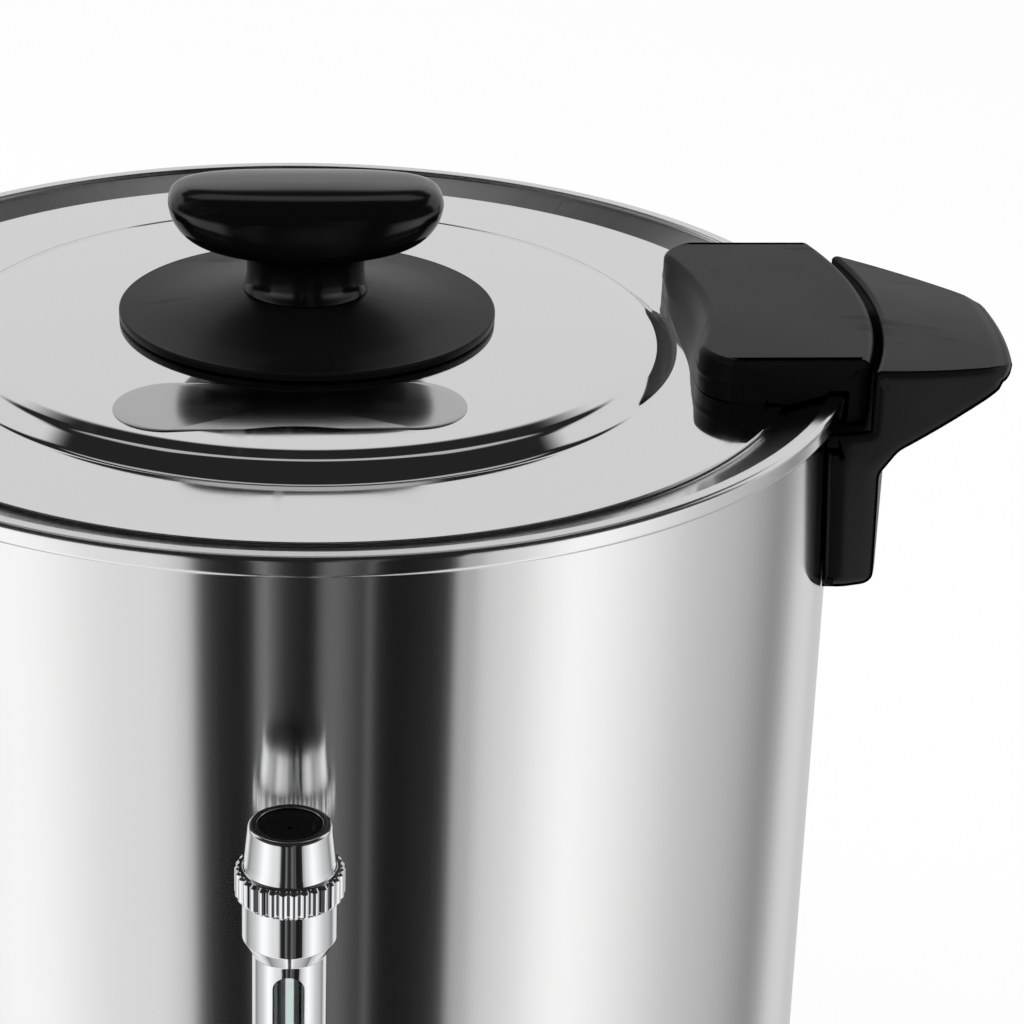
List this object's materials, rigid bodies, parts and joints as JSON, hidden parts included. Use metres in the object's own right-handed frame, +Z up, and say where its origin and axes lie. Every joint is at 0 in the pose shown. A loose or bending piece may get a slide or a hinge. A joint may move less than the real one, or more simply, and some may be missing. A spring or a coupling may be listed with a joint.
{
  "type": "hot water urn",
  "caption": "Electric hot water urn: polished steel body, twist-lock lid with knob and ears, side handles, slotted level gauge over a lever tap, black base with rocker switch.",
  "frame": {"origin": "centre of the urn's body on the standing plane, where the rubber feet rest", "axes": "+Z up; the tap and level gauge face -Y; the two handles lie along X"},
  "size_m": [0.3226, 0.324, 0.4256],
  "materials": {
    "polished_steel": "polished",
    "lid_steel": "polished",
    "inner_steel": "satin",
    "cast_plate": "cast",
    "element_steel": "heat-darkened",
    "thermostat_metal": "satin",
    "black_plastic": "satin",
    "black_gloss": "gloss",
    "zinc_sheet": "satin",
    "foot_rubber": "matt",
    "screw_steel": "satin",
    "seal_rubber": "matt",
    "tap_chrome": "mirror",
    "nut_brass": "satin",
    "gauge_glass": "clear",
    "lamp_red": "clear",
    "lamp_green": "clear",
    "pin_brass": "polished"
  },
  "bodies": {
    "urn": {"body_shell": "polished_steel", "tank_floor": "inner_steel", "heater_plate": "cast_plate", "heating_element": "element_steel", "keep_warm_element": "element_steel", "thermostat": "thermostat_metal", "thermal_cutout": "thermostat_metal", "base_ring": "black_plastic", "bottom_plate": "zinc_sheet", "foot_front_left": "foot_rubber", "foot_front_right": "foot_rubber", "foot_back_left": "foot_rubber", "foot_back_right": "foot_rubber", "foot_screws": "screw_steel", "centre_stud": "screw_steel", "centre_nut": "screw_steel", "handle_left": "black_plastic", "handle_right": "black_plastic", "handle_screws": "screw_steel", "handle_washers": "seal_rubber", "tap_body": "tap_chrome", "tap_gasket_outer": "seal_rubber", "tap_gasket_inner": "seal_rubber", "tap_nut": "nut_brass", "tap_bonnet": "tap_chrome", "tap_pin": "screw_steel", "tap_spring": "screw_steel", "gauge_washer_bottom": "seal_rubber", "gauge_glass": "gauge_glass", "gauge_guard": "tap_chrome", "gauge_cap": "tap_chrome", "gauge_plug": "black_gloss", "gauge_washer_top": "seal_rubber", "control_panel": "black_plastic", "switch_body": "black_plastic", "lamp_power": "lamp_red", "lamp_ready": "lamp_green", "inlet_housing": "black_plastic", "inlet_pins": "pin_brass", "inlet_screws": "screw_steel"},
    "lid_carrier": {"lid_seal": "seal_rubber"},
    "lid": {"lid_pan": "lid_steel", "knob_skirt": "black_plastic", "lid_knob": "black_gloss", "knob_washer": "screw_steel", "knob_screw": "screw_steel", "lid_ear_left": "black_plastic", "lid_ear_right": "black_plastic", "lid_ear_screws": "screw_steel"},
    "lever": {"tap_lever": "black_plastic"},
    "valve": {"tap_stem": "nut_brass", "tap_seal": "seal_rubber"},
    "rocker": {"switch_rocker": "black_gloss"}
  },
  "joints": [
    {"name": "lid_lift", "type": "slide", "parent": "urn", "child": "lid_carrier", "axis": [0, 0, 1], "range_m": [0, 0.12]},
    {"name": "lid_turn", "type": "hinge", "parent": "lid_carrier", "child": "lid", "pos_m": [0, 0, 0.392], "axis": [0, 0, 1], "range_deg": [-34, 0]},
    {"name": "lever_tilt", "type": "hinge", "parent": "urn", "child": "lever", "pos_m": [0, -0.176, 0.152], "axis": [1, 0, 0], "range_deg": [0, 25], "stiffness_Nm_per_rad": 0.12, "springref_deg": -17.19},
    {"name": "valve_lift", "type": "slide", "parent": "urn", "child": "valve", "axis": [0, 0, 1], "range_m": [0, 0.003], "deforming": ["tap_spring"]},
    {"name": "switch_rock", "type": "hinge", "parent": "urn", "child": "rocker", "pos_m": [-0.024, -0.1305, 0.037], "axis": [1, 0, 0], "range_deg": [-16, 0]}
  ],
  "couplings": [
    {"joint": "valve_lift", "follows": "lever_tilt", "m_per_rad": 0.00687}
  ]
}
